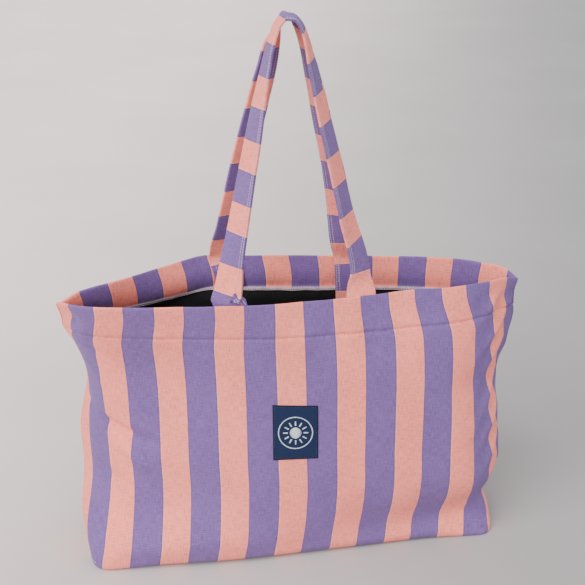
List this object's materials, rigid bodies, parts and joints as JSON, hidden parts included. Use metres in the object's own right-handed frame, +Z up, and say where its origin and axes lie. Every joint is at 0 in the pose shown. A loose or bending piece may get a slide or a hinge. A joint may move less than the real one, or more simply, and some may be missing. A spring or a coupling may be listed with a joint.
{
  "type": "beach bag",
  "caption": "Large striped canvas beach bag with a flat base, an open hemmed mouth, a dark lining, a sewn front label and a pair of long strap handles that fold outwards.",
  "frame": {"origin": "on the ground under the middle of the bag's overall box, standing on its base with both handles up", "axes": "+Z up, -Y out of the front that carries the label, +X to the right of someone facing the front"},
  "size_m": [0.5377, 0.144, 0.6635],
  "materials": {
    "striped_canvas": "woven polyester canvas printed in upright stripes of pink and lilac",
    "lining": "matt black woven lining",
    "thread": "pale lilac sewing thread",
    "label": "woven navy label",
    "label_print": "silver-white yarn"
  },
  "bodies": {
    "bag": {"back_hem": "striped_canvas", "back_hem_serging": "thread", "back_hem_stitching": "thread", "back_left_strap_end": "striped_canvas", "back_lining": "lining", "back_panel": "striped_canvas", "back_right_strap_end": "striped_canvas", "back_strap_end_serging": "thread", "back_strap_end_stitching": "thread", "base_seam": "thread", "front_hem": "striped_canvas", "front_hem_serging": "thread", "front_hem_stitching": "thread", "front_left_strap_end": "striped_canvas", "front_lining": "lining", "front_panel": "striped_canvas", "front_right_strap_end": "striped_canvas", "front_strap_end_serging": "thread", "front_strap_end_stitching": "thread", "label_emblem": "label_print", "label_patch": "label", "label_stitching": "thread", "left_corner_seam": "thread", "left_side_seam": "thread", "right_corner_seam": "thread", "right_side_seam": "thread"},
    "front_handle": {"front_handle": "striped_canvas", "front_handle_stitching": "thread"},
    "back_handle": {"back_handle": "striped_canvas", "back_handle_stitching": "thread"}
  },
  "joints": [
    {"name": "front_handle_swing", "type": "hinge", "parent": "bag", "child": "front_handle", "pos_m": [-0.003, -0.0647, 0.3623], "axis": [0.9927, 0.1205, 0], "range_deg": [0, 175]},
    {"name": "back_handle_swing", "type": "hinge", "parent": "bag", "child": "back_handle", "pos_m": [-0.0045, 0.0619, 0.3623], "axis": [-0.9916, 0.1291, 0], "range_deg": [0, 175]}
  ]
}
